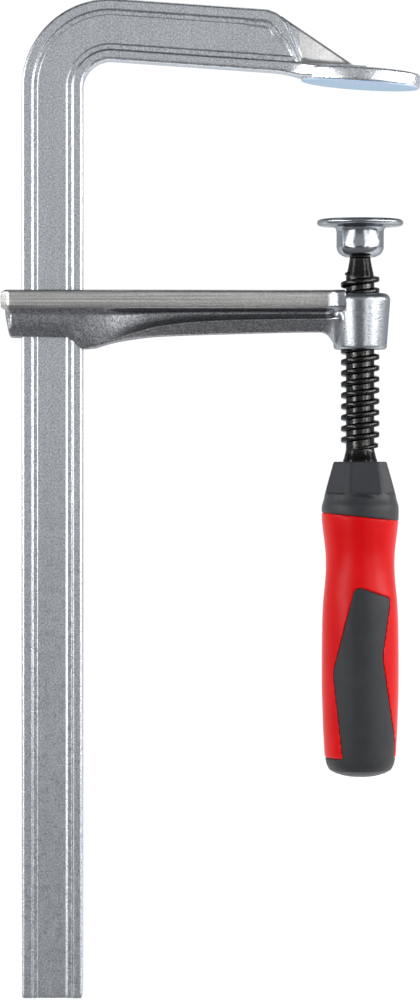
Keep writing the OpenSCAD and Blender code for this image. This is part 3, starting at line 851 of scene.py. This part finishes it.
def build_collar():
    """The collar above the seam, with six leaning flats, a slit and holes for shank and tang."""
    collar = handle_body("handle_collar_shell", 0)
    combine(collar, seam_block("seam"), "INTERSECT")
    taper = math.radians(14.5)
    lean = Matrix.Rotation(-taper, 4, "Y")
    shift = Matrix.Translation((8.6 * MM, 0, 0))
    lift = Matrix.Translation((0, 0, HANDLE_TOP * MM))
    for k in range(6):
        cut = block("flat", (0, -20, -11.6 / math.cos(taper)), (20, 20, 50))
        turn = Matrix.Rotation(math.radians(60 * k + 30 + 8.5), 4, "Z")
        cut.data.transform(lift @ turn @ shift @ lean)
        combine(collar, cut, "DIFFERENCE")
    slit = block("slit", (-5, -30, -0.4), (5, -12.1, 0.4))
    slit.data.transform(Matrix.Translation((2 * MM, 0, (HANDLE_TOP - 12.4) * MM))
                        @ Matrix.Rotation(math.radians(7.9), 4, "Y"))
    combine(collar, slit, "DIFFERENCE")
    shank = SHANK_R + FIT
    shank_hole = lathe("shank", [(shank, HANDLE_TOP - 12), (shank, HANDLE_TOP + 5)])
    combine(collar, shank_hole, "DIFFERENCE")
    tang_hole = hexagon("hole", TANG_HALF + FIT, HANDLE_TOP - 40, HANDLE_TOP)
    combine(collar, tang_hole, "DIFFERENCE")
    return forge(collar, 0.3, 2)


dress(build_rail(), "rail", "rail", zinc_steel, 50)
dress(build_arm(), "arm", "sliding_arm", forged_zinc, 60)
dress(build_spindle(), "spindle", "spindle", black_oxide, 45)
dress(build_pad(), "pad", "pressure_plate", bright_zinc, 50)
dress(build_handle_core(), "spindle", "handle_core", red_plastic, 60)
dress(build_collar(), "spindle", "handle_collar", black_plastic, 60)
dress(forge(soft_shape("handle_soft_grip", 0.1), 0.36, 3), "spindle", "handle_grip",
      soft_grip, 60)
snap_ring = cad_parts["pad_snap_ring"]
snap_ring.data.materials.clear()
snap_ring.data.materials.append(spring_steel)


# --- Studio ---

HANDLE_TRAVEL = 0.245
FLOOR_Z = GRIP_LOW[2] * MM - HANDLE_TRAVEL


def build_floor():
    """A floor that is grey in front, for the steel to reflect, and lit to white behind the clamp.
    It is low enough to clear the handle when the arm is at the rail's end."""
    reach = 6.0
    corners = [(-reach, -reach), (reach, -reach), (reach, reach), (-reach, reach)]
    points = [(x / MM, y / MM, FLOOR_Z / MM) for x, y in corners]
    floor = new_piece("floor", points, [(0, 1, 2, 3)])
    material, tree, shader, place = nodes_of("paper")
    fibre = ramp(tree, noise(tree, place, 30, 3), 0.3, 0.7, (0.96, 0.96, 0.97), (1, 1, 1))
    lit = spread(tree, along(tree, place, "Y"), -0.06, -0.004, 0, 1)
    fall = ramp(tree, lit, 0, 1, (0.32, 0.32, 0.33), (0.9, 0.9, 0.9))
    tree.links.new(multiply(tree, fibre, fall), shader.inputs["Base Color"])
    shader.inputs["Roughness"].default_value = 0.8
    shader.inputs["Emission Color"].default_value = (1, 1, 1, 1)
    tree.links.new(spread(tree, lit, 0.4, 1, 0, 0.8), shader.inputs["Emission Strength"])
    floor.data.materials.append(material)


AIM = (-0.05, 0, -0.15)
SOFTBOXES = [       # name, place, size and power
    ("key_left", (-1.05, -0.8, 0.05), (0.4, 1.5), 5),
    ("key_right", (1.15, -0.5, 0.05), (0.6, 1.5), 6),
    ("glint_left", (-1.2, -0.45, 0.05), (0.1, 1.4), 5),
    ("glint_right", (1.23, -0.24, 0.05), (0.12, 1.4), 6),
    ("strip", (0.72, -1.1, 0.1), (0.35, 1.2), 3),
    ("top", (0, 0.5, 1.3), (1.2, 0.8), 3),
]


def softbox(name, place, size, power):
    """A rectangular light that faces the clamp and isn't seen itself."""
    data = bpy.data.lights.new(name, "AREA")
    data.shape = "RECTANGLE"
    data.size, data.size_y = size
    data.energy = power
    light = bpy.data.objects.new(name, data)
    light.location = place
    light.rotation_euler = (Vector(AIM) - Vector(place)).to_track_quat("-Z", "Z").to_euler()
    light.visible_camera = False
    bpy.context.scene.collection.objects.link(light)


def build_world():
    """Grey in front, white behind, and darker above, for metal to reflect."""
    world = bpy.data.worlds.new("studio")
    bpy.context.scene.world = world
    world.use_nodes = True
    tree = world.node_tree
    place = tree.nodes.new("ShaderNodeTexCoord").outputs["Generated"]
    back = ramp(tree, spread(tree, along(tree, place, "Y"), -1, 1, 0, 1), 0.75, 0.95,
                (0.6, 0.61, 0.625), (1, 1, 1))
    high = ramp(tree, spread(tree, along(tree, place, "Z"), -1, 1, 0, 1), 0.6, 0.85,
                (1, 1, 1), (0.2, 0.205, 0.215))
    shade = tree.nodes["Background"]
    tree.links.new(multiply(tree, back, high), shade.inputs["Color"])
    shade.inputs["Strength"].default_value = 1.03


def build_camera():
    """A long lens square to the clamp's front, framed as in the photograph."""
    centre = Vector((-0.0542, 0, -0.131))
    distance = 1.3
    view_height = 0.361
    data = bpy.data.cameras.new("camera")
    data.sensor_width = 36
    data.lens = data.sensor_width * distance / view_height
    data.shift_y = -0.0186 / view_height
    camera = bpy.data.objects.new("camera", data)
    camera.location = centre - Vector((0, distance, 0))
    camera.rotation_euler = (math.pi / 2, 0, 0)
    bpy.context.scene.collection.objects.link(camera)
    bpy.context.scene.camera = camera


build_floor()
build_world()
build_camera()
for box in SOFTBOXES:
    softbox(*box)
bpy.context.scene.view_settings.view_transform = "Standard"
